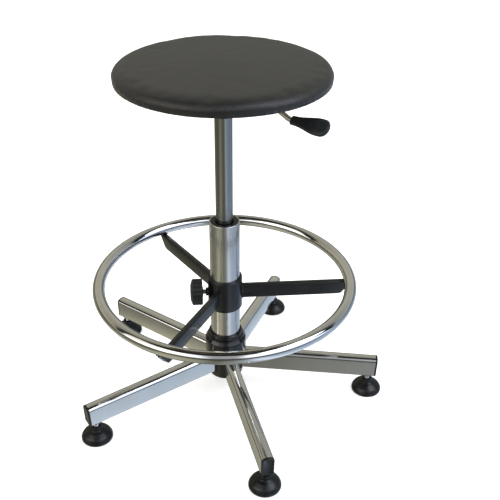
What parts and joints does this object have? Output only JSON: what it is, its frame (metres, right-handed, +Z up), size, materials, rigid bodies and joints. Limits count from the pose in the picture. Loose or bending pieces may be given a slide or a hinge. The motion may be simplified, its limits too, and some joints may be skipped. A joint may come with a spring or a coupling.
{
  "type": "drafting stool",
  "caption": "Drafting stool: round padded seat on a gas-lift column, sliding footring clamped by a knob, star base on flat glides.",
  "frame": {"origin": "on the floor, on the column axis", "axes": "+Z up along the column; one base arm points along -Y"},
  "size_m": [0.536, 0.5124, 0.601],
  "materials": {
    "chrome_tube": "polished",
    "black_cap": "satin moulded",
    "black_foot": "satin moulded",
    "zinc_steel": "zinc plated",
    "black_paint": "satin powder coat",
    "gloss_black": "polished moulded",
    "satin_steel": "brushed and plated",
    "black_bush": "moulded",
    "bearing_steel": "ground",
    "brass": "turned",
    "rubber": "moulded",
    "black_grip": "fine texture",
    "black_vinyl": "fine grain",
    "plywood": "bare"
  },
  "bodies": {
    "base": {"hub": "black_paint", "hub_cover": "gloss_black", "column_tube": "satin_steel", "guide_bush": "black_bush", "bearing_washer_lower": "bearing_steel", "glide_sockets": "zinc_steel", "base_arm_1": "chrome_tube", "base_arm_2": "chrome_tube", "base_arm_3": "chrome_tube", "base_arm_4": "chrome_tube", "base_arm_5": "chrome_tube", "arm_end_cap_1": "black_cap", "arm_end_cap_2": "black_cap", "arm_end_cap_3": "black_cap", "arm_end_cap_4": "black_cap", "arm_end_cap_5": "black_cap"},
    "bearing": {"ball_cage": "black_bush", "bearing_balls": "bearing_steel"},
    "spindle": {"piston_rod": "bearing_steel", "piston": "brass", "rod_clip": "zinc_steel", "bearing_washer_upper": "bearing_steel", "bump_ring": "rubber"},
    "seat": {"gas_cylinder": "satin_steel", "rod_gland": "brass", "valve_body": "brass", "taper_socket": "black_paint", "seat_plate": "black_paint", "lever_bracket": "black_paint", "lever_pivot_pin": "zinc_steel", "seat_board": "plywood", "seat_cushion": "black_vinyl", "seat_screws": "zinc_steel", "tee_nuts": "zinc_steel"},
    "valve": {"valve_pin": "brass"},
    "lever": {"lever_bar": "black_paint", "lever_rod": "satin_steel", "lever_paddle": "black_grip"},
    "liner": {"collar_liner": "black_bush"},
    "footrest": {"footring": "chrome_tube", "footring_spoke_1": "black_paint", "footring_spoke_2": "black_paint", "footring_spoke_3": "black_paint", "footring_collar": "black_paint", "clamp_nut": "zinc_steel"},
    "clamp": {"clamp_pad": "black_bush"},
    "knob": {"clamp_knob": "black_grip", "clamp_stud": "zinc_steel"},
    "foot_1": {"glide_1": "black_foot", "glide_stem_1": "zinc_steel"},
    "foot_2": {"glide_2": "black_foot", "glide_stem_2": "zinc_steel"},
    "foot_3": {"glide_3": "black_foot", "glide_stem_3": "zinc_steel"},
    "foot_4": {"glide_4": "black_foot", "glide_stem_4": "zinc_steel"},
    "foot_5": {"glide_5": "black_foot", "glide_stem_5": "zinc_steel"}
  },
  "joints": [
    {"name": "seat_swivel", "type": "hinge", "parent": "base", "child": "spindle", "pos_m": [0, 0, 0.05205], "axis": [0, 0, 1], "continuous": true},
    {"name": "bearing_turn", "type": "hinge", "parent": "base", "child": "bearing", "pos_m": [0, 0, 0.048], "axis": [0, 0, 1], "continuous": true},
    {"name": "seat_lift", "type": "slide", "parent": "spindle", "child": "seat", "axis": [0, 0, 1], "range_m": [-0.171, 0.03]},
    {"name": "lever_lift", "type": "hinge", "parent": "seat", "child": "lever", "pos_m": [0.01703, -0.02095, 0.568], "axis": [-0.776, -0.6307, 0], "range_deg": [0, 6.5], "stiffness_Nm_per_rad": 2, "springref_deg": -6.88},
    {"name": "valve_press", "type": "slide", "parent": "seat", "child": "valve", "axis": [0, 0, 1], "range_m": [-0.0032, 0]},
    {"name": "footring_slide", "type": "slide", "parent": "base", "child": "liner", "axis": [0, 0, 1], "range_m": [-0.05, 0.095]},
    {"name": "footring_turn", "type": "hinge", "parent": "liner", "child": "footrest", "pos_m": [0, 0, 0.2055], "axis": [0, 0, 1], "continuous": true},
    {"name": "clamp_press", "type": "slide", "parent": "footrest", "child": "clamp", "axis": [-0.9833, 0.1822, 0], "range_m": [0, 0.00187]},
    {"name": "knob_turn", "type": "hinge", "parent": "clamp", "child": "knob", "pos_m": [-0.04425, 0.0082, 0.2036], "axis": [-0.9833, 0.1822, 0], "range_deg": [0, 540]},
    {"name": "foot_turn_1", "type": "hinge", "parent": "base", "child": "foot_1", "pos_m": [0, -0.2545, 0.03], "axis": [0, 0, 1], "continuous": true},
    {"name": "foot_turn_2", "type": "hinge", "parent": "base", "child": "foot_2", "pos_m": [0.24204, -0.07865, 0.03], "axis": [0, 0, 1], "continuous": true},
    {"name": "foot_turn_3", "type": "hinge", "parent": "base", "child": "foot_3", "pos_m": [0.14959, 0.20589, 0.03], "axis": [0, 0, 1], "continuous": true},
    {"name": "foot_turn_4", "type": "hinge", "parent": "base", "child": "foot_4", "pos_m": [-0.14959, 0.20589, 0.03], "axis": [0, 0, 1], "continuous": true},
    {"name": "foot_turn_5", "type": "hinge", "parent": "base", "child": "foot_5", "pos_m": [-0.24204, -0.07865, 0.03], "axis": [0, 0, 1], "continuous": true}
  ],
  "couplings": [
    {"joint": "bearing_turn", "follows": "seat_swivel", "ratio": 0.5},
    {"joint": "valve_press", "follows": "lever_lift", "m_per_rad": -0.028},
    {"joint": "knob_turn", "follows": "clamp_press", "rad_per_m": 5026.5}
  ]
}
